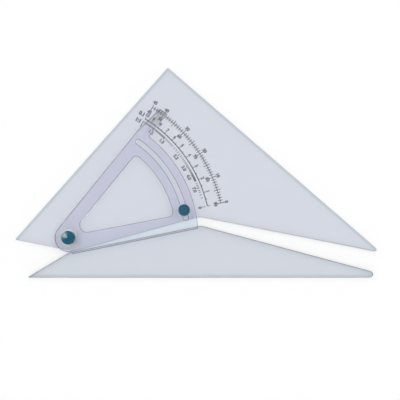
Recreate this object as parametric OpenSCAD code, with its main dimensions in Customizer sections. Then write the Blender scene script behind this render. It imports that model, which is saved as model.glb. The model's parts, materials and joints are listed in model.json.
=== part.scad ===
// Adjustable set square, in millimetres.
// A clear base plate carries a clear sector arm, bonded along a narrow lap. A clear triangle
// lies in the base plate's plane and turns under the arm about the pivot. A clamp screw in the
// triangle runs in the arm's arc slot and locks the opening.
// Origin: the pivot axis, on the flat underside. +X along the ruling edge, +Y to the apex,
// +Z up, out of the printed side.

/* [Pose] */
// How far the triangle stands open, from the closed square
opening = 3.8; // [0:0.1:45]

/* [Base plate] */
// Length of the ruling edge between its sharp corners
ruling_len = 240; // [230:1:260]
// Pivot axis to the ruling edge
ruling_drop = 26; // [24:0.5:32]
// Angle of the pointed toe, and of the long joint edge
toe_angle = 15; // [13:0.5:17]
// Angle of the joint edge under the arm
seam_angle = 11.5; // [9:0.5:14]
// Pivot axis to the joint edge under the arm
seam_drop = 9.5; // [9.4:0.1:12]
// Corner radius at the toe
toe_r = 2.1; // [0.5:0.1:2.5]
// Corner radius at the apex
apex_r = 6; // [1:0.5:12]

/* [Plates] */
// Thickness of the base plate and the triangle
plate_t = 2; // [1.8:0.1:3]
// Gap along the joint when the square is closed
seam_gap = 0.3; // [0.2:0.05:0.6]
// Width of the bevel on the three ruling edges
bevel_w = 1.9; // [0.5:0.1:3]
// Height of the upright face that is left under a bevel
bevel_land = 1; // [0.5:0.1:1.5]

/* [Triangle] */
// Largest opening between the triangle and the base plate
swing = 45; // [30:1:45]
// Pivot axis to the triangle's short ruling edge
short_edge_dist = 26.2; // [22:0.2:34]
// How far the toe reaches past the long ruling edge, along the base
toe_reach = 6.4; // [4:0.2:10]
// Pivot axis to the triangle's edge at the heel
heel_drop = 8; // [7:0.1:8.6]
// Corner radius at the triangle's pointed end
tip_r = 1.25; // [0.4:0.05:2]

/* [Arm] */
// Thickness of the arm
arm_t = 2; // [1.5:0.1:3]
// Gap between the arm and the triangle, filled by the friction washers
arm_gap = 0.2; // [0.1:0.05:0.5]
// Radius of the arm's round end at the pivot
arm_end_r = 9.3; // [8:0.1:9.4]
// Radius of the arm's outer arc
arm_arc_r = 84.6; // [82:0.2:88]
// Direction of the arm's long straight side
arm_angle = 51.3; // [50:0.1:56]
// Width of the bonded lap on the base plate
lap_w = 1.4; // [1:0.1:4]
// Width of the limb along the straight side
limb_w = 8.8; // [7:0.1:12]

/* [Arm window] */
// Direction of the window's lower side
window_foot_angle = 10.7; // [9:0.1:14]
// Pivot axis to the line of the window's lower side
window_foot_dist = 1.35; // [0.5:0.05:4]
// Corner radius of the window near the pivot
window_heel_r = 4.5; // [2:0.1:6]
// Corner radius of the window at its arc
window_arc_corner_r = 3.2; // [1:0.1:5]

/* [Arc slot] */
// Width of the arm outside the slot
slot_rim = 5.5; // [4:0.1:7]
// Width of the arm between the slot and the window
slot_wall = 5.9; // [4:0.1:8]
// Angle of the slot's lower end
slot_start = 9.6; // [9.2:0.1:12]

/* [Index tab] */
// Direction of the index, which reads 45 when closed
index_angle = 54.4; // [53:0.1:55]
// How far the tab reaches past the outer arc
tab_reach = 19.1; // [10:0.1:21]
// Angle from the index to the slanted side of the tip
tab_lead = 0.7; // [0.3:0.1:1.5]
// Angle from the index to the tab's radial side
tab_trail = 2.5; // [1:0.1:4]

/* [Screws] */
// Diameter of both screws
screw_d = 3; // [2.5:0.5:3]
// Thickness of the flat screw heads
head_t = 0.8; // [0.6:0.1:1]
// Diameter of the pivot screw's head
pivot_head_d = 7; // [6.6:0.1:8]
// Diameter of the clamp screw's head
clamp_head_d = 6; // [5:0.1:7]
// How far a screw reaches into its knob
thread_reach = 3; // [2:0.1:3.4]
// Outer diameter of the pivot bush
bush_d = 5; // [4.6:0.1:5.6]

/* [Washers] */
// Diameter of the friction washers
friction_washer_d = 7.4; // [7:0.1:9]
// Diameter of the ring under the pivot knob
pivot_washer_d = 11.7; // [9:0.1:14]
// Thickness of the ring under the pivot knob
pivot_washer_t = 0.6; // [0.4:0.1:1]
// Diameter of the washer under the clamp knob
clamp_washer_d = 7; // [6:0.1:7.5]
// Thickness of the washer under the clamp knob
clamp_washer_t = 0.5; // [0.3:0.1:1]

/* [Knobs] */
// Diameter of the pivot knob
pivot_knob_d = 8.8; // [8:0.1:12]
// Height of the pivot knob's wall
pivot_knob_h = 4.2; // [4:0.1:8]
// Rise of the pivot knob's conical top
crown_h = 1.1; // [0.2:0.1:1.5]
// Diameter of the clamp knob
clamp_knob_d = 7.6; // [7:0.1:12]
// Height of the clamp knob
clamp_knob_h = 4.2; // [4.2:0.1:8]
// Diameter of the dish in the clamp knob's top
dish_d = 5.2; // [3:0.1:5.4]
// Depth of the dish in the clamp knob's top
dish_depth = 0.3; // [0.1:0.05:0.4]
// Number of grip flutes round a knob
flutes = 30; // [16:1:40]
// Diameter of the brass inserts
insert_d = 5; // [4.4:0.1:5.2]

/* [Clearances] */
// Radial running clearance of a shaft in its hole
running_gap = 0.05; // [0.02:0.01:0.1]
// Radial clearance of pieces that are pressed or bonded together
press_gap = 0.02; // [0.01:0.01:0.05]
// Thickness of the cement between the arm's foot and the base plate
bond_t = 0.02; // [0.01:0.01:0.05]
// Clearance of the clamp screw to each side of the slot
slot_gap = 0.1; // [0.05:0.05:0.3]
// Clearance round the pivot screw's head in the triangle
head_gap = 0.3; // [0.2:0.05:0.5]

/* [Hidden] */
$fn = 96;

// Reach of a cutter that has to pass the whole model
far = 2 * ruling_len;
// Overshoot of a cutter past the face that it opens
over = 1;

// How far a round corner's circle passes the lines and arcs that it blends into. The circle
// then crosses them cleanly and doesn't only touch them.
round_bite = 0.005;

// A straight edge is an angle and its signed distance from the pivot axis, to its left
short_edge_angle = 45;
long_edge_angle = short_edge_angle - 90;
// The heel stays just clear of the triangle at full opening
heel_relief = 1;
heel_angle = swing - toe_angle + heel_relief;
heel_dist = -(heel_drop + seam_gap);
seam_dist = -seam_drop;
lap_dist = -(seam_drop + lap_w);
tri_seam_dist = seam_dist + seam_gap;
tri_heel_dist = -heel_drop;

heel_point = meet(0, -ruling_drop, heel_angle, heel_dist);
toe_point = heel_point + [ruling_len, 0];
long_joint_dist = off_of(toe_point, -toe_angle);
tri_joint_dist = long_joint_dist + seam_gap;
long_edge_dist = off_of(toe_point - [toe_reach, 0], long_edge_angle);

// Heights
arm_z = plate_t + arm_gap;
arm_top = arm_z + arm_t;
pivot_knob_z = arm_top + pivot_washer_t;
clamp_knob_z = arm_top + clamp_washer_t;

// Arm and screws. The clamp screw stands at the slot's lower end when the square is closed
clamp_angle = slot_start;
slot_w = screw_d + 2 * slot_gap;
slot_r = arm_arc_r - slot_rim - slot_w / 2;
window_arc_r = slot_r - slot_w / 2 - slot_wall;
tab_tip_r = arm_arc_r + tab_reach;
window_left_dist = arm_end_r - limb_w;
head_end_gap = 0.05;

// Knob details
knob_edge = 0.4;
crown_flat_r = 0.3;
flute_r = 0.35;
flute_depth = 0.15;
insert_h = 2.6;
tip_room = 0.3;
washer_gap = 0.1;

function dir(a) = [cos(a), sin(a)];
function left_of(a) = [-sin(a), cos(a)];
function unit(v) = v / norm(v);
function off_of(p, a) = p * left_of(a);
// Where two edges meet
function meet(a, da, b, db) = (da * dir(b) - db * dir(a)) / sin(b - a);
// The point at a distance r from the pivot on an edge
function on_edge(a, d, r) = dir(a) * sqrt(r * r - d * d) + left_of(a) * d;

// A flat outline whose corner i is rounded with radii[i]; a corner of radius 0 stays sharp
module rounded(points, radii) {
    n = len(points);
    difference() {
        polygon(points);
        for (i = [0:n - 1]) {
            if (radii[i] > 0)
                corner_waste(points[(i + n - 1) % n], points[i], points[(i + 1) % n], radii[i]);
        }
    }
}

// What a rounding of radius r takes off the corner at p, between its neighbours
module corner_waste(last, p, next, r) {
    a = unit(last - p);
    b = unit(next - p);
    half = acos(a * b) / 2;
    reach = r / tan(half);
    round_waste(p, p + a * reach, p + b * reach, p + unit(a + b) * r / sin(half), r);
}

// What is outside a round corner about centre, which meets the two sides at t1 and t2
module round_waste(p, t1, t2, centre, r) {
    difference() {
        polygon([t1, 2 * t1 - centre, p + unit(p - centre) * r, 2 * t2 - centre, t2]);
        translate(centre)
            circle(r = r + round_bite);
    }
}

// Cutter that bevels the upper side of a plate along an edge whose left side is outside
module bevel_cutter(angle, dist) {
    rise = plate_t - bevel_land;
    translate(left_of(angle) * dist)
        rotate([0, 0, angle])
            translate([-far, 0, 0])
                rotate([90, 0, 90])
                    linear_extrude(2 * far)
                        polygon([
                            [bevel_w, bevel_land - rise],
                            [-2 * bevel_w, bevel_land + 2 * rise],
                            [bevel_w, bevel_land + 2 * rise]
                        ]);
}

// Places what turns with the triangle
module on_triangle() {
    rotate([0, 0, opening])
        children();
}

// Places what sits on the clamp screw's axis
module at_clamp() {
    on_triangle()
        translate(slot_r * dir(clamp_angle))
            children();
}

module ring(d_out, d_in, h) {
    difference() {
        cylinder(d = d_out, h = h);
        translate([0, 0, -over])
            cylinder(d = d_in, h = h + 2 * over);
    }
}

module base_plate() {
    seam_heel = meet(heel_angle, heel_dist, seam_angle, seam_dist);
    apex = meet(seam_angle, seam_dist, -toe_angle, long_joint_dist);
    color([0.78, 0.82, 0.87, 0.6])
        difference() {
            linear_extrude(plate_t)
                rounded([heel_point, seam_heel, apex, toe_point], [0, 0, apex_r, toe_r]);
            bevel_cutter(180, ruling_drop);
        }
}

module triangle_plate() {
    heel = meet(short_edge_angle, short_edge_dist, -toe_angle, tri_heel_dist);
    top = meet(short_edge_angle, short_edge_dist, long_edge_angle, long_edge_dist);
    tip = meet(long_edge_angle, long_edge_dist, -toe_angle, tri_joint_dist);
    joint_corner = meet(seam_angle, tri_seam_dist, -toe_angle, tri_joint_dist);
    heel_corner = meet(seam_angle, tri_seam_dist, -toe_angle, tri_heel_dist);
    color([0.80, 0.84, 0.88, 0.6])
        on_triangle()
            difference() {
                linear_extrude(plate_t)
                    rounded([heel, top, tip, joint_corner, heel_corner], [0, 0, tip_r, 0, 0]);
                bevel_cutter(short_edge_angle, short_edge_dist);
                bevel_cutter(long_edge_angle, long_edge_dist);
                translate([0, 0, -over])
                    cylinder(d = bush_d + 2 * running_gap, h = plate_t + 2 * over);
                translate([0, 0, -over])
                    cylinder(d = pivot_head_d + 2 * head_gap, h = over + head_t + head_end_gap);
                translate(slot_r * dir(clamp_angle)) {
                    translate([0, 0, -over])
                        cylinder(d = screw_d + 2 * press_gap, h = plate_t + 2 * over);
                    translate([0, 0, -over])
                        cylinder(d = clamp_head_d + 2 * press_gap, h = over + head_t);
                }
            }
}

// The arm's outline: round end, straight side, outer arc, bonded foot and index tab
module arm_outline() {
    side_start = left_of(arm_angle) * arm_end_r;
    side_end = on_edge(arm_angle, arm_end_r, arm_arc_r);
    circle(r = arm_end_r);
    intersection() {
        circle(r = arm_arc_r);
        polygon([
            [0, 0],
            left_of(seam_angle) * lap_dist,
            left_of(seam_angle) * lap_dist + dir(seam_angle) * far,
            side_start + dir(arm_angle) * far,
            side_start
        ]);
    }
    polygon([
        side_end,
        tab_tip_r * dir(index_angle + tab_lead),
        tab_tip_r * dir(index_angle - tab_trail),
        (arm_arc_r - over) * dir(index_angle - tab_trail)
    ]);
}

// The window: two straight sides and an arc about the pivot, with round corners
module window_outline() {
    r = window_arc_corner_r;
    heel = meet(arm_angle, window_left_dist, window_foot_angle, window_foot_dist);
    top = on_edge(arm_angle, window_left_dist, window_arc_r);
    foot = on_edge(window_foot_angle, window_foot_dist, window_arc_r);
    top_c = on_edge(arm_angle, window_left_dist - r, window_arc_r - r);
    foot_c = on_edge(window_foot_angle, window_foot_dist + r, window_arc_r - r);
    difference() {
        intersection() {
            circle(r = window_arc_r);
            polygon([heel, heel + dir(window_foot_angle) * far, heel + dir(arm_angle) * far]);
        }
        corner_waste(top, heel, foot, window_heel_r);
        round_waste(top, top_c + left_of(arm_angle) * r, unit(top_c) * window_arc_r, top_c, r);
        round_waste(foot, foot_c - left_of(window_foot_angle) * r, unit(foot_c) * window_arc_r, foot_c, r);
    }
}

// The arc slot that the clamp screw runs in, with round ends that stop it
module slot_outline() {
    intersection() {
        difference() {
            circle(r = slot_r + slot_w / 2);
            circle(r = slot_r - slot_w / 2);
        }
        polygon([
            [0, 0],
            2 * slot_r * dir(slot_start),
            2 * slot_r * dir(slot_start + swing)
        ]);
    }
    for (a = [slot_start, slot_start + swing])
        translate(slot_r * dir(a))
            circle(r = slot_w / 2 + round_bite);
}

module sector_arm() {
    color([0.76, 0.77, 0.84, 0.6]) {
        translate([0, 0, arm_z])
            linear_extrude(arm_t)
                difference() {
                    arm_outline();
                    window_outline();
                    slot_outline();
                    circle(d = bush_d + 2 * press_gap);
                }
        // Foot that is bonded to the base plate
        translate([0, 0, plate_t + bond_t])
            linear_extrude(arm_gap - bond_t)
                intersection() {
                    circle(r = arm_arc_r);
                    polygon([
                        left_of(seam_angle) * lap_dist,
                        left_of(seam_angle) * lap_dist + dir(seam_angle) * far,
                        left_of(seam_angle) * seam_dist + dir(seam_angle) * far,
                        left_of(seam_angle) * seam_dist
                    ]);
                }
    }
}

// Flat-headed screw, head down, whose shank ends thread_reach above the knob's foot
module screw(head_d, knob_z) {
    cylinder(d = head_d, h = head_t);
    cylinder(d = screw_d, h = knob_z + thread_reach);
}

// Outside of a knob turned from its profile, with grip flutes round the wall
module knob_form(d, h, top) {
    difference() {
        rotate_extrude()
            polygon(concat(
                [[0, 0], [d / 2 - knob_edge, 0], [d / 2, knob_edge]],
                [[d / 2, h - knob_edge], [d / 2 - knob_edge, h]],
                top
            ));
        for (i = [0:flutes - 1])
            rotate([0, 0, i * 360 / flutes])
                translate([d / 2 + flute_r - flute_depth, 0, -over])
                    cylinder(r = flute_r, h = h + 2 * over, $fn = 24);
    }
}

// Pocket for the insert and the end of the screw
module knob_bore() {
    translate([0, 0, -over])
        cylinder(d = insert_d + 2 * press_gap, h = insert_h + over);
    cylinder(d = screw_d + 2 * tip_room, h = thread_reach + tip_room);
}

module knob_insert() {
    ring(insert_d, screw_d + 2 * running_gap, insert_h);
}

module pivot_screw() {
    color([0.75, 0.76, 0.78])
        screw(pivot_head_d, pivot_knob_z);
}

module pivot_bush() {
    color([0.80, 0.66, 0.36])
        translate([0, 0, head_t])
            ring(bush_d, screw_d + 2 * press_gap, arm_top - head_t);
}

module pivot_friction_washer() {
    color([0.90, 0.91, 0.92])
        translate([0, 0, plate_t])
            ring(friction_washer_d, bush_d + 2 * washer_gap, arm_gap);
}

module pivot_washer() {
    color([0.72, 0.76, 0.80])
        translate([0, 0, arm_top])
            ring(pivot_washer_d, screw_d + 2 * washer_gap, pivot_washer_t);
}

module pivot_knob() {
    crown_z = pivot_knob_h + crown_h;
    color([0.19, 0.36, 0.45])
        translate([0, 0, pivot_knob_z])
            difference() {
                knob_form(pivot_knob_d, pivot_knob_h, [[crown_flat_r, crown_z], [0, crown_z]]);
                knob_bore();
            }
}

module pivot_knob_insert() {
    color([0.80, 0.66, 0.36])
        translate([0, 0, pivot_knob_z])
            knob_insert();
}

module clamp_screw() {
    color([0.75, 0.76, 0.78])
        at_clamp()
            screw(clamp_head_d, clamp_knob_z);
}

module clamp_friction_washer() {
    color([0.90, 0.91, 0.92])
        at_clamp()
            translate([0, 0, plate_t])
                ring(friction_washer_d, screw_d + 2 * press_gap, arm_gap);
}

module clamp_washer() {
    color([0.75, 0.76, 0.78])
        at_clamp()
            translate([0, 0, arm_top])
                ring(clamp_washer_d, screw_d + 2 * washer_gap, clamp_washer_t);
}

module clamp_knob() {
    floor_z = clamp_knob_h - dish_depth;
    dish = [
        [dish_d / 2, clamp_knob_h],
        [dish_d / 2 - dish_depth, floor_z],
        [0, floor_z]
    ];
    color([0.19, 0.36, 0.45])
        at_clamp()
            translate([0, 0, clamp_knob_z])
                difference() {
                    knob_form(clamp_knob_d, clamp_knob_h, dish);
                    knob_bore();
                }
}

module clamp_knob_insert() {
    color([0.80, 0.66, 0.36])
        at_clamp()
            translate([0, 0, clamp_knob_z])
                knob_insert();
}

base_plate();
sector_arm();
triangle_plate();
pivot_screw();
pivot_bush();
pivot_friction_washer();
pivot_washer();
pivot_knob();
pivot_knob_insert();
clamp_screw();
clamp_friction_washer();
clamp_washer();
clamp_knob();
clamp_knob_insert();
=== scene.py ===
"""An adjustable set square of clear acrylic, lying flat on white paper.

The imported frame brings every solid. The knobs, screws, bushes and washers get their materials
here. The three clear sheets are shown by copies with chamfered edges. The printed scales and
the index line are pieces made here, in metres.
"""

import json
import math
from collections import Counter

import bpy
from mathutils import Matrix, Vector

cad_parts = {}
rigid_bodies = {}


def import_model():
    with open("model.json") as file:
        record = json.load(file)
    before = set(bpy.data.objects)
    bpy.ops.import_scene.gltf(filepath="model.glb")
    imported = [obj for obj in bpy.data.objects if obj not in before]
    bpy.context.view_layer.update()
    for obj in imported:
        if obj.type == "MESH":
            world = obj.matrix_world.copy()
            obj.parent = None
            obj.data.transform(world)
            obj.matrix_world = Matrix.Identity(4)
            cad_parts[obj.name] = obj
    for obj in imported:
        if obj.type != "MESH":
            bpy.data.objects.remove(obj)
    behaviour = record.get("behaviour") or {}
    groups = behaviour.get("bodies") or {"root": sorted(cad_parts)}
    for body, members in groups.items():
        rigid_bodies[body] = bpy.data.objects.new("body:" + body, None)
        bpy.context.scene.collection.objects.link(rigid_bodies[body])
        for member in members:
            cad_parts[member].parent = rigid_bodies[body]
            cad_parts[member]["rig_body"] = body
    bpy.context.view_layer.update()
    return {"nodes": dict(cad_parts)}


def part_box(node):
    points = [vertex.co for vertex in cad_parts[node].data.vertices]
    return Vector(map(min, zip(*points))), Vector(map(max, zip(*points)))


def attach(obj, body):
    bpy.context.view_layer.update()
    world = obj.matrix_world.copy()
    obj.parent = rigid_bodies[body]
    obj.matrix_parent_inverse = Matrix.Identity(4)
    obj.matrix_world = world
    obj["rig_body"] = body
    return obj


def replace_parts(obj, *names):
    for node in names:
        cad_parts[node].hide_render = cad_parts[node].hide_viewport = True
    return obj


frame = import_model()

MM = 0.001

# The photograph's frame
IMAGE_SIDE = 400
# Where the pivot axis meets the paper in the photograph, in pixels
PIVOT_PX = (70.3, 237.7)
# Width of one pixel on the paper, how far the camera leans towards the ruling edge, in degrees,
# and how far off it is, in metres
PX_MM = 0.661
CAMERA_TILT = 3.5
CAMERA_DISTANCE = 0.506
CLIP_NEAR = 0.1
CLIP_FAR = 100.0

# Layout of the printed scales, about the pivot axis, in millimetres and degrees. The tuples of
# ticks are their inner and outer radius
SCALE_START = 13.0
SCALE_SPAN = 45
DEGREE_ARC = 102.1
DEGREE_TICKS = (100.7, 103.6)
FIVE_TICKS = (99.6, 104.3)
TEN_TICKS = (99.5, 104.6)
DEGREE_LABELS = (0, 10, 20, 30, 40, 45)
TICK_W = 0.5
OUTER_LABEL_R = 105.8
INNER_LABEL_R = 98.4
SLOPE_ARC = 93.0
SLOPE_HALF_TOP = 94.1
SLOPE_TOP = 94.6
SLOPE_LABEL_R = 95.9
RATIO_TICKS = (90.1, 91.5)
RATIO_LONG_FOOT = 89.4
RATIO_LABEL_R = 87.9
# Where the ratio scale is ticked: from, up to and step
RATIO_STEPS = (
    (1.0, 1.5, 0.02),
    (1.5, 1.8, 0.05),
    (1.8, 5.0, 0.1),
    (5.0, 7.0, 0.5),
    (7.0, 9.0, 1.0),
)
RATIO_LAST_TICKS = (9.0, 11.0, 15.0)
RATIO_LABELS = ("1", "1.2", "1.5", "2.2", "3.0", "4.0", "7.0")
CAPTION_ANGLE = 60.2
TENTH_CAPTION_R = 94.9
RATIO_CAPTION_R = 90.0
LABEL_HEIGHT = 2.15
SLOPE_LABEL_HEIGHT = 2.1
CAPTION_HEIGHT = 2.5
LINE_W = 0.45
ARC_W = 0.7
# Height of a capital in the built-in font, as a share of its size, and how much strokes swell
FONT_CAP = 0.73
LABEL_SWELL = 0.18
CAPTION_SWELL = 0.26
# The print is on the reverse, just under the plate
PRINT_TOP = -0.005
PRINT_T = 0.03
# The index line is in the arm, above its foot's underside by INDEX_RISE
INDEX_ANGLE = 54.4
INDEX_REACH = (86.0, 102.5)
INDEX_W = 0.15
INDEX_RISE = 0.19

# Width of the chamfer round the clear sheets, in millimetres
CHAMFER = 0.3
# What is this far above the arm's underside, or less, is the underside of its foot
FOOT_REACH = 0.1
# Angles between faces, in degrees: how flat a join may be to vanish, how sharp an edge has to
# be to be chamfered, and how sharp to be shaded as an edge
LEVEL_ANGLE = 0.2
CHAMFER_ANGLE = 40
CRISP_ANGLE = 20
# Points nearer than this are one, in metres
WELD_GAP = 1e-6

# Upward part of the normal at which a clear sheet's level face starts to be a ruling bevel, a
# chamfer and a wall, and where it fully is
BEVEL_LEVEL = (0.97, 0.93)
CHAMFER_LEVEL = (0.84, 0.78)
WALL_LEVEL = (0.6, 0.3)
# Light has passed a whole sheet when its transmission depth is above this
PAST_ONE_SHEET = 1.5
# How much of a sheet's tint its shadow takes
SHADOW_SHARE = 0.5
# Radii between which the arm's colour changes into the painted shade on the index tab
TAB_START = (90.0, 96.0)

# The paper, and how much of its light comes evenly from the studio
PAPER_Z = -0.12
PAPER_SIDE = 60.0
PAPER_ALBEDO = 0.85
ROOM_SHARE = 0.72


# ---------------------------------------------------------------- shader helpers


def node(tree, kind, inputs=None, **settings):
    """A new shader node with its settings and inputs; an input is a value or a socket."""
    made = tree.nodes.new("ShaderNode" + kind)
    for name, value in settings.items():
        setattr(made, name, value)
    for name, value in (inputs or {}).items():
        if isinstance(value, bpy.types.NodeSocket):
            tree.links.new(value, made.inputs[name])
        else:
            made.inputs[name].default_value = value
    return made


def new_material(name):
    """An empty material, its node tree and its output node."""
    material = bpy.data.materials.new(name)
    material.use_nodes = True
    tree = material.node_tree
    tree.nodes.clear()
    return material, tree, node(tree, "OutputMaterial")


def ramp(tree, value, low, high, to_low=0.0, to_high=1.0):
    """value, mapped smoothly from low..high to to_low..to_high."""
    made = node(
        tree,
        "MapRange",
        {"Value": value, "From Min": low, "From Max": high, "To Min": to_low, "To Max": to_high},
        interpolation_type="SMOOTHSTEP",
    )
    return made.outputs["Result"]


def blend_colour(tree, share, first, second):
    """first where share is 0 and second where it is 1."""
    made = node(tree, "Mix", {"Factor": share}, data_type="RGBA")
    for socket, value in ((made.inputs[6], first), (made.inputs[7], second)):
        if isinstance(value, bpy.types.NodeSocket):
            tree.links.new(value, socket)
        else:
            socket.default_value = (*value, 1)
    return made.outputs[2]


def maths(tree, operation, *values):
    """The result of a Math node."""
    return node(tree, "Math", dict(enumerate(values)), operation=operation).outputs[0]


def blend_shader(tree, share, first, second):
    """first where share is 0 and second where it is 1."""
    return node(tree, "MixShader", {0: share, 1: first, 2: second}).outputs[0]


def noise(tree, scale, detail=3.0):
    """A noise value in the object's own space."""
    where = node(tree, "TexCoord").outputs["Object"]
    made = node(tree, "TexNoise", {"Vector": where, "Scale": scale, "Detail": detail})
    return made.outputs["Fac"]


def seen_ray(tree):
    """1 for a ray that shows the picture: from the camera, mirrored or let through."""
    ray = node(tree, "LightPath").outputs
    direct = maths(tree, "MAXIMUM", ray["Is Camera Ray"], ray["Is Glossy Ray"])
    return maths(tree, "MAXIMUM", direct, ray["Is Transmission Ray"])


# ---------------------------------------------------------------- materials


def acrylic(name, face, bevel, edge, wall, covered=None, tab_shade=None, edge_share=1.0):
    """Clear sheet. face, bevel, edge and wall are what each kind of face lets through. bevel, edge
    and wall are darker than face: painted shade for the dark bands and lines along a sheet's
    edges, and on the walls partly their frosted milled finish.

    covered is what a face lets through where it is seen through another sheet. The index tab's
    colour, darker than the face, is painted shade. edge_share is how much of its edges' tint the
    shadow takes.
    """
    material, tree, output = new_material(name)
    normal = node(tree, "NewGeometry").outputs["True Normal"]
    z = node(tree, "SeparateXYZ", {0: normal}).outputs["Z"]
    level = maths(tree, "ABSOLUTE", z)
    upright = ramp(tree, level, *WALL_LEVEL)
    broken = ramp(tree, level, *CHAMFER_LEVEL)
    sloped = ramp(tree, level, *BEVEL_LEVEL)
    # On the index tab the arm's colour is darkened: painted shade
    if tab_shade:
        face = blend_colour(tree, tab(tree), face, tab_shade)
    # Bevels, chamfers and walls get darker colours: painted shade along the sheet's edges
    colour = blend_colour(tree, sloped, face, bevel)
    colour = blend_colour(tree, broken, colour, edge)
    colour = blend_colour(tree, upright, colour, wall)
    handled = ramp(tree, noise(tree, 45.0), 0.35, 0.75, 0.01, 0.04)
    milled = ramp(tree, noise(tree, 900.0), 0.3, 0.7, 0.28, 0.42)
    worn = {"Factor": upright, 2: handled, 3: milled}
    roughness = node(tree, "Mix", worn, data_type="FLOAT").outputs[0]
    ray = node(tree, "LightPath").outputs
    seen = colour
    if covered:
        under = maths(tree, "GREATER_THAN", ray["Transmission Depth"], PAST_ONE_SHEET)
        flat = maths(tree, "SUBTRACT", 1.0, sloped)
        seen = blend_colour(tree, maths(tree, "MULTIPLY", under, flat), colour, covered)
    sheet = node(
        tree,
        "BsdfPrincipled",
        {"Base Color": seen, "Roughness": roughness, "IOR": 1.49, "Transmission Weight": 1.0},
    )
    edges = maths(tree, "MAXIMUM", broken, upright)
    shares = {"Value": edges, "To Min": SHADOW_SHARE, "To Max": edge_share}
    share = node(tree, "MapRange", shares).outputs[0]
    passed = blend_colour(tree, share, (1, 1, 1), colour)
    straight = node(tree, "BsdfTransparent", {"Color": passed}).outputs[0]
    bounced = blend_shader(tree, ray["Is Diffuse Ray"], sheet.outputs[0], straight)
    lit = blend_shader(tree, ray["Is Shadow Ray"], bounced, straight)
    tree.links.new(lit, output.inputs["Surface"])
    return material


def tab(tree):
    """1 on the index tab, beyond the arm's outer arc."""
    where = node(tree, "TexCoord").outputs["Object"]
    scaled = node(tree, "VectorMath", {0: where, 1: (1 / MM, 1 / MM, 0)}, operation="MULTIPLY")
    flat = scaled.outputs["Vector"]
    radius = node(tree, "VectorMath", {0: flat}, operation="LENGTH").outputs["Value"]
    return ramp(tree, radius, *TAB_START)


def knob_plastic(name):
    """Glossy teal moulded plastic."""
    material, tree, output = new_material(name)
    colour = blend_colour(tree, noise(tree, 260.0), (0.002, 0.082, 0.135), (0.006, 0.092, 0.155))
    roughness = ramp(tree, noise(tree, 1500.0, 4.0), 0.3, 0.7, 0.2, 0.27)
    body = node(
        tree,
        "BsdfPrincipled",
        {"Base Color": colour, "Roughness": roughness, "IOR": 1.5, "Specular IOR Level": 0.2},
    )
    tree.links.new(body.outputs[0], output.inputs["Surface"])
    return material


def metal(name, light, dark, roughness):
    """Turned metal, uneven in colour and gloss."""
    material, tree, output = new_material(name)
    colour = blend_colour(tree, noise(tree, 700.0, 5.0), dark, light)
    worn = ramp(tree, noise(tree, 2400.0, 4.0), 0.3, 0.7, roughness - 0.06, roughness + 0.08)
    finish = {"Base Color": colour, "Roughness": worn, "Metallic": 1.0}
    body = node(tree, "BsdfPrincipled", finish)
    tree.links.new(body.outputs[0], output.inputs["Surface"])
    return material


def nylon(name):
    """Milky washer plastic."""
    material, tree, output = new_material(name)
    colour = blend_colour(tree, noise(tree, 500.0), (0.60, 0.64, 0.70), (0.68, 0.71, 0.76))
    roughness = ramp(tree, noise(tree, 1800.0), 0.3, 0.7, 0.35, 0.5)
    finish = {"Base Color": colour, "Roughness": roughness, "Alpha": 0.55}
    body = node(tree, "BsdfPrincipled", finish)
    tree.links.new(body.outputs[0], output.inputs["Surface"])
    return material


def ink(name):
    """Screen-printed black."""
    material, tree, output = new_material(name)
    colour = blend_colour(tree, noise(tree, 900.0, 4.0), (0.03, 0.03, 0.034), (0.06, 0.058, 0.06))
    body = node(tree, "BsdfPrincipled", {"Base Color": colour, "Roughness": 0.55})
    tree.links.new(body.outputs[0], output.inputs["Surface"])
    return material


# The bevel, edge and wall colours below are painted shade for the dark lines along the sheets'
# edges, partly the frosted milled walls
PLATE = acrylic(
    "clear_plate",
    face=(0.785, 0.807, 0.857),
    bevel=(0.64, 0.70, 0.74),
    edge=(0.4, 0.44, 0.48),
    wall=(0.65, 0.68, 0.71),
    covered=(0.885, 0.795, 0.865),
)
# The lower plate's edges and walls are darker than the triangle's: painted shade for the dark line
# along its seam
LOWER = acrylic(
    "clear_lower",
    face=(0.77, 0.797, 0.843),
    bevel=(0.66, 0.72, 0.76),
    edge=(0.14, 0.15, 0.18),
    wall=(0.45, 0.48, 0.51),
    covered=(0.885, 0.795, 0.865),
)
# The arm's near-black edge colour is painted shade for its dark outlines
ARM = acrylic(
    "clear_arm",
    face=(0.82, 0.88, 0.93),
    bevel=(0.8, 0.8, 0.88),
    edge=(0.08, 0.09, 0.13),
    wall=(0.62, 0.60, 0.72),
    # painted shade on the index tab
    tab_shade=(0.735, 0.79, 0.785),
    edge_share=0.4,
)
TEAL = knob_plastic("teal_plastic")
BRASS = metal("turned_brass", (0.86, 0.66, 0.32), (0.62, 0.44, 0.18), 0.28)
STEEL = metal("plated_steel", (0.78, 0.78, 0.8), (0.55, 0.55, 0.58), 0.3)
NYLON = nylon("washer_nylon")
INK = ink("print_ink")

NODE_MATERIALS = {
    "pivot_screw": STEEL,
    "pivot_bush": BRASS,
    "pivot_friction_washer": NYLON,
    "pivot_washer": NYLON,
    "pivot_knob": TEAL,
    "pivot_knob_insert": BRASS,
    "clamp_screw": STEEL,
    "clamp_friction_washer": NYLON,
    "clamp_washer": STEEL,
    "clamp_knob": TEAL,
    "clamp_knob_insert": BRASS,
}

for node_name, material in NODE_MATERIALS.items():
    frame["nodes"][node_name].material_slots[0].material = material


# ---------------------------------------------------------------- clear sheets


def sheet_piece(node_name, material):
    """A copy of a clear sheet's solid, shown in its place."""
    solid = frame["nodes"][node_name]
    made = bpy.data.objects.new(node_name + "_sheet", solid.data.copy())
    made.material_slots[0].material = material
    bpy.context.scene.collection.objects.link(made)
    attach(made, solid["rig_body"])
    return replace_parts(made, node_name)


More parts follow.
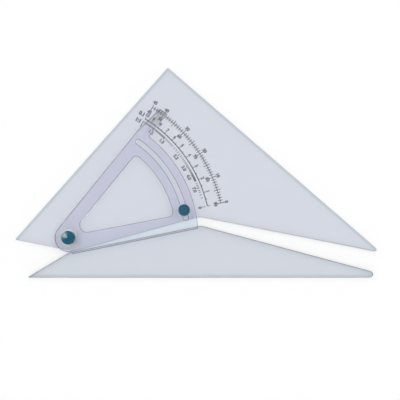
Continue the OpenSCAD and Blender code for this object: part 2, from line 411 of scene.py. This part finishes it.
def mark_edges(sheet):
    """Marks the arm's sharp level edges for a chamfer, all but those round its low foot."""
    foot_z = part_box("sector_arm")[0].z + FOOT_REACH * MM
    mesh = sheet.data
    places = [tuple(round(c, 6) for c in v.co) for v in mesh.vertices]
    foot = {place[:2] for place in places if place[2] < foot_z}
    users = Counter(key for face in mesh.polygons for key in face.edge_keys)
    marks = mesh.attributes.new("bevel_weight_edge", "FLOAT", "EDGE")
    for line, mark in zip(mesh.edges, marks.data):
        a, b = (places[i] for i in line.vertices)
        underside = a[2] < foot_z + MM
        by_foot = underside and (a[:2] in foot or b[:2] in foot)
        mark.value = float(users[line.key] == 1 and a[2] == b[2] and not by_foot)


def break_edges(sheet, limit="ANGLE"):
    """Chamfers a clear sheet's sharp edges a little, as polishing leaves them."""
    weld = sheet.modifiers.new("weld", "WELD")
    weld.merge_threshold = WELD_GAP
    level = sheet.modifiers.new("level_faces", "DECIMATE")
    level.decimate_type = "DISSOLVE"
    level.angle_limit = math.radians(LEVEL_ANGLE)
    edge = sheet.modifiers.new("broken_edge", "BEVEL")
    edge.width = CHAMFER * MM
    edge.segments = 1
    edge.limit_method = limit
    edge.angle_limit = math.radians(CHAMFER_ANGLE)
    edge.use_clamp_overlap = False
    crisp = sheet.modifiers.new("crisp", "EDGE_SPLIT")
    crisp.split_angle = math.radians(CRISP_ANGLE)


break_edges(sheet_piece("base_plate", LOWER))
break_edges(sheet_piece("triangle_plate", PLATE))
arm = sheet_piece("sector_arm", ARM)
mark_edges(arm)
break_edges(arm, "WEIGHT")


# ---------------------------------------------------------------- printed scales


class Print:
    """Flat closed prisms of ink that together are one piece."""

    def __init__(self, top=PRINT_TOP):
        self.top = top
        self.points = []
        self.faces = []

    def prism(self, outline):
        """A prism over an outline of (x, y) points in millimetres, counter-clockwise."""
        first = len(self.points)
        count = len(outline)
        for z in (self.top - PRINT_T, self.top):
            self.points += [(x * MM, y * MM, z * MM) for x, y in outline]
        self.faces.append([first + i for i in reversed(range(count))])
        self.faces.append([first + count + i for i in range(count)])
        for i in range(count):
            j = (i + 1) % count
            self.faces.append([first + i, first + j, first + count + j, first + count + i])

    def tick(self, angle, inner, outer, width=LINE_W):
        """A radial line from one radius to another."""
        out, side = polar(angle, 1.0), polar(angle + 90, width / 2)
        corners = ((inner, -1), (outer, -1), (outer, 1), (inner, 1))
        self.prism([(out[0] * r + side[0] * s, out[1] * r + side[1] * s) for r, s in corners])

    def arc(self, radius, start, end, width=LINE_W):
        """A line along a circle about the pivot, with a corner at each degree."""
        count = round(end - start)
        angles = [start + (end - start) * i / count for i in range(count + 1)]
        rims = [polar(a, radius + width / 2) for a in angles]
        self.prism(rims + [polar(a, radius - width / 2) for a in reversed(angles)])

    def label(self, text, angle, radius, height=LABEL_HEIGHT, swell=LABEL_SWELL):
        """Numerals centred on a place about the pivot, with their tops away from it."""
        curve = bpy.data.curves.new("numeral", "FONT")
        curve.body = text
        curve.align_x, curve.align_y = "CENTER", "CENTER"
        curve.size = height / FONT_CAP
        curve.offset = swell
        curve.resolution_u = 3
        curve.extrude = PRINT_T / 2
        shape = bpy.data.objects.new("numeral", curve)
        mesh = shape.to_mesh()
        x, y = polar(angle, radius)
        place = Matrix.Translation((x, y, self.top - PRINT_T / 2)) @ Matrix.Rotation(
            math.radians(angle - 90), 4, "Z"
        )
        first = len(self.points)
        self.points += [tuple((place @ v.co) * MM) for v in mesh.vertices]
        self.faces += [[first + i for i in face.vertices] for face in mesh.polygons]
        shape.to_mesh_clear()
        bpy.data.objects.remove(shape)
        bpy.data.curves.remove(curve)

    def piece(self, name, body):
        """The piece, riding on a body of the frame."""
        mesh = bpy.data.meshes.new(name)
        mesh.from_pydata(self.points, [], self.faces)
        mesh.validate()
        mesh.materials.append(INK)
        made = bpy.data.objects.new(name, mesh)
        bpy.context.scene.collection.objects.link(made)
        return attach(made, body)


def polar(angle, radius):
    """x and y of a place about the pivot."""
    a = math.radians(angle)
    return radius * math.cos(a), radius * math.sin(a)


def degree_scale():
    """Degrees between the plates, 0 to 45, with 90 to 45 on the inside."""
    ticks, labels = Print(), Print()
    for degree in range(SCALE_SPAN + 1):
        reach = TEN_TICKS if degree % 10 == 0 else FIVE_TICKS if degree % 5 == 0 else DEGREE_TICKS
        ticks.tick(SCALE_START + degree, *reach, TICK_W)
    ticks.arc(DEGREE_ARC, SCALE_START, SCALE_START + SCALE_SPAN)
    for degree in DEGREE_LABELS:
        labels.label(str(degree), SCALE_START + degree, OUTER_LABEL_R)
        labels.label(str(90 - degree), SCALE_START + degree, INNER_LABEL_R)
    ticks.piece("degree_ticks", "triangle")
    labels.piece("degree_numerals", "triangle")


def slope_angle(slope):
    """Where a slope is on the scales."""
    return SCALE_START + math.degrees(math.atan(slope))


def slope_scale():
    """Rise in tenths of the run, 0 to 10, outside a bold arc."""
    ticks, labels = Print(), Print()
    ticks.arc(SLOPE_ARC, SCALE_START, SCALE_START + SCALE_SPAN, ARC_W)
    for half in range(21):
        ticks.tick(slope_angle(half / 20), SLOPE_ARC, SLOPE_HALF_TOP if half % 2 else SLOPE_TOP)
    for tenth in range(1, 11):
        labels.label(str(tenth), slope_angle(tenth / 10), SLOPE_LABEL_R, SLOPE_LABEL_HEIGHT)
    labels.label("0.1", CAPTION_ANGLE, TENTH_CAPTION_R, CAPTION_HEIGHT, CAPTION_SWELL)
    ticks.piece("slope_ticks", "triangle")
    labels.piece("slope_numerals", "triangle")


def ratio_scale():
    """Run for a rise of one: 1 at 45 degrees, and more towards the level."""
    ticks, labels = Print(), Print()
    runs = [a + i * step for a, b, step in RATIO_STEPS for i in range(round((b - a) / step))]
    for run in (*runs, *RATIO_LAST_TICKS):
        ticks.tick(slope_angle(1 / run), *RATIO_TICKS)
    for text in RATIO_LABELS:
        angle = slope_angle(1 / float(text))
        ticks.tick(angle, RATIO_LONG_FOOT, RATIO_TICKS[1])
        labels.label(text, angle, RATIO_LABEL_R)
    ticks.tick(SCALE_START, RATIO_LONG_FOOT, RATIO_TICKS[1])
    labels.label("0", SCALE_START, RATIO_LABEL_R)
    labels.label("1:1", CAPTION_ANGLE, RATIO_CAPTION_R, CAPTION_HEIGHT, CAPTION_SWELL)
    ticks.piece("ratio_ticks", "triangle")
    labels.piece("ratio_numerals", "triangle")


degree_scale()
slope_scale()
ratio_scale()

index = Print(top=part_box("sector_arm")[0].z / MM + INDEX_RISE)
index.tick(INDEX_ANGLE, *INDEX_REACH, INDEX_W)
index.piece("index_line", "base")


# ---------------------------------------------------------------- paper, light and camera


def paper():
    """White paper. What the camera meets directly or through the sheet is lifted to white."""
    mesh = bpy.data.meshes.new("paper")
    half = PAPER_SIDE / 2
    corners = [(x * half, y * half, PAPER_Z * MM) for x, y in ((-1, -1), (1, -1), (1, 1), (-1, 1))]
    mesh.from_pydata(corners, [], [(0, 1, 2, 3)])
    made = bpy.data.objects.new("paper", mesh)
    bpy.context.scene.collection.objects.link(made)
    material, tree, output = new_material("paper")
    lift = maths(tree, "MULTIPLY", seen_ray(tree), 1 - PAPER_ALBEDO)
    glow = node(tree, "Emission", {"Color": (1, 1, 1, 1), "Strength": lift})
    sheet = node(tree, "BsdfDiffuse", {"Color": (PAPER_ALBEDO,) * 3 + (1,)})
    both = node(tree, "AddShader", {0: glow.outputs[0], 1: sheet.outputs[0]})
    tree.links.new(both.outputs[0], output.inputs["Surface"])
    mesh.materials.append(material)


def lamp(name, direction, share, angle):
    """A soft lamp in that direction that gives this share of the light on the paper.

    angle is how wide it looks, in radians.
    """
    light = bpy.data.lights.new(name, "SUN")
    light.angle = angle
    towards = Vector(direction).normalized()
    light.energy = math.pi * share / towards.z
    made = bpy.data.objects.new(name, light)
    made.rotation_euler = towards.to_track_quat("Z", "Y").to_euler()
    bpy.context.scene.collection.objects.link(made)
    return made


def surroundings():
    """White studio walls where they are seen, and a weaker even light from them."""
    world = bpy.data.worlds.new("studio")
    bpy.context.scene.world = world
    world.use_nodes = True
    tree = world.node_tree
    tree.nodes.clear()
    output = node(tree, "OutputWorld")
    lift = maths(tree, "MULTIPLY", seen_ray(tree), 1 - ROOM_SHARE)
    strength = maths(tree, "ADD", lift, ROOM_SHARE)
    room = node(tree, "Background", {"Color": (1, 1, 1, 1), "Strength": strength})
    tree.links.new(room.outputs[0], output.inputs["Surface"])


def camera():
    """Looks at the photograph's middle, from the ruling edge's side of straight above."""
    tilt = math.radians(CAMERA_TILT)
    back = Vector((0, -math.sin(tilt), math.cos(tilt)))
    up = Vector((0, math.cos(tilt), math.sin(tilt)))
    middle = IMAGE_SIDE / 2
    target = Vector((
        (middle - PIVOT_PX[0]) * PX_MM * MM,
        (PIVOT_PX[1] - middle) * PX_MM / math.cos(tilt) * MM,
        0,
    ))
    data = bpy.data.cameras.new("camera")
    made = bpy.data.objects.new("camera", data)
    right = up.cross(back)
    made.matrix_world = Matrix.Translation(target + back * CAMERA_DISTANCE) @ Matrix(
        (right, up, back)
    ).transposed().to_4x4()
    data.lens = data.sensor_width * CAMERA_DISTANCE / (IMAGE_SIDE * PX_MM * MM)
    data.clip_start, data.clip_end = CLIP_NEAR, CLIP_FAR
    bpy.context.scene.collection.objects.link(made)
    bpy.context.scene.camera = made


paper()
surroundings()
for side_lamp in (
    lamp("left_lamp", (-0.4, 0.22, 1.0), share=0.13, angle=0.3),
    lamp("right_lamp", (0.75, 0.2, 1.0), share=0.15, angle=0.15),
):
    side_lamp.visible_glossy = False
# A white card that only shows as a reflection, such as the highlight in the knobs
card = lamp("card", (-0.46, 0.23, 0.86), share=2.1, angle=0.6)
card.visible_diffuse = False
card.visible_transmission = False
camera()
bpy.context.scene.view_settings.view_transform = "Standard"
